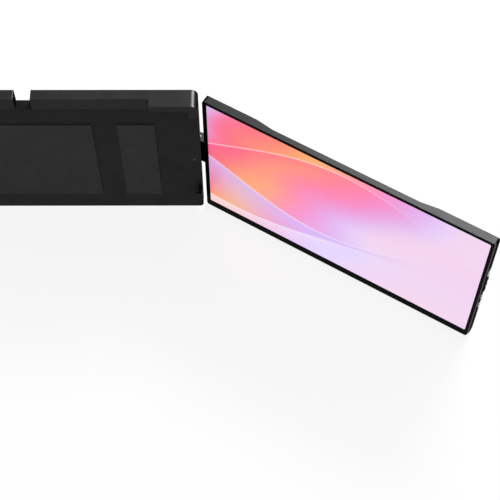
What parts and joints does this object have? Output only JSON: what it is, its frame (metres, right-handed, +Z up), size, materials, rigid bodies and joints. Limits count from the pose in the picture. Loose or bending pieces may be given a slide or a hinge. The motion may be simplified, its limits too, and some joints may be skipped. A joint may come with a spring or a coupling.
{
  "type": "laptop screen extender",
  "caption": "Slab frame that clips onto a laptop's lid with a sprung sliding top clamp and carries a flat display panel on a vertical friction hinge at its right edge",
  "frame": {"origin": "centre of the front face of the middle pad, which the back of a laptop's lid rests on", "axes": "X to the user's right along the frame, Y away from the user out of the frame's rear, Z up along the lid"},
  "size_m": [0.5913, 0.1692, 0.1937],
  "materials": {
    "frame_shell": "fine satin moulded black",
    "frame_front": "matte moulded black",
    "clamp_metal": "satin black coated bars",
    "rubber": "matte dark rubber",
    "panel_metal": "dark grey bead-blasted",
    "bezel": "semi-gloss black",
    "display": "lit display sheet with a soft gradient",
    "tray": "plain rolled",
    "board": "green solder mask",
    "port_metal": "bright plated shells",
    "hinge_metal": "satin dark grey",
    "steel": "bright zinc-plated",
    "screw_black": "black oxide",
    "spring_steel": "drawn wire",
    "button": "satin black",
    "washer": "plain bronze"
  },
  "bodies": {
    "frame": {"front_plate": "frame_front", "back_shell": "frame_shell", "lid_pad_left": "rubber", "lid_pad_centre": "rubber", "lid_pad_right": "rubber", "foot_left": "rubber", "foot_right": "rubber", "corner_guard_left": "clamp_metal", "guard_liner_left": "rubber", "corner_guard_right": "clamp_metal", "guard_liner_right": "rubber", "mechanism_cover": "frame_front", "low_bearer_left": "frame_front", "high_bearer_left": "frame_front", "guide_rod_left": "steel", "clamp_spring_left": "spring_steel", "low_bearer_right": "frame_front", "high_bearer_right": "frame_front", "guide_rod_right": "steel", "clamp_spring_right": "spring_steel", "hinge_leaf": "hinge_metal", "plate_screws": "screw_black", "cover_screws": "screw_black", "leaf_screws": "screw_black", "guard_screws": "screw_black"},
    "top_clamp": {"clamp_carriage": "steel", "runner_left": "frame_front", "runner_right": "frame_front", "hook_bar_left": "clamp_metal", "hook_bar_right": "clamp_metal", "hook_liner_left": "rubber", "hook_liner_right": "rubber", "hook_screws": "screw_black"},
    "panel": {"hinge_arm": "hinge_metal", "hinge_pin": "steel", "friction_washers": "washer", "arm_screws": "screw_black", "back_cover": "panel_metal", "front_bezel": "bezel", "display_sheet": "display", "display_tray": "tray", "timing_board": "board", "main_board": "board", "video_port": "port_metal", "usb_port_upper": "port_metal", "usb_port_lower": "port_metal", "button_switches": "port_metal", "panel_bumpers": "rubber", "panel_screws": "screw_black"},
    "button_upper": {"button_upper": "button"},
    "button_centre": {"button_centre": "button"},
    "button_lower": {"button_lower": "button"}
  },
  "joints": [
    {"name": "panel_swing", "type": "hinge", "parent": "frame", "child": "panel", "pos_m": [0.1605, 0.0181, 0], "axis": [0, 0, -1], "range_deg": [-211, 13]},
    {"name": "clamp_slide", "type": "slide", "parent": "frame", "child": "top_clamp", "axis": [0, 0, 1], "range_m": [0, 0.025], "stiffness_N_per_m": 250, "springref_m": -0.03, "deforming": ["clamp_spring_left", "clamp_spring_right"]},
    {"name": "press_upper", "type": "slide", "parent": "panel", "child": "button_upper", "axis": [-0.8572, 0.515, 0], "range_m": [0, 0.0005], "stiffness_N_per_m": 2000, "springref_m": -0.0005},
    {"name": "press_centre", "type": "slide", "parent": "panel", "child": "button_centre", "axis": [-0.8572, 0.515, 0], "range_m": [0, 0.0005], "stiffness_N_per_m": 2000, "springref_m": -0.0005},
    {"name": "press_lower", "type": "slide", "parent": "panel", "child": "button_lower", "axis": [-0.8572, 0.515, 0], "range_m": [0, 0.0005], "stiffness_N_per_m": 2000, "springref_m": -0.0005}
  ]
}
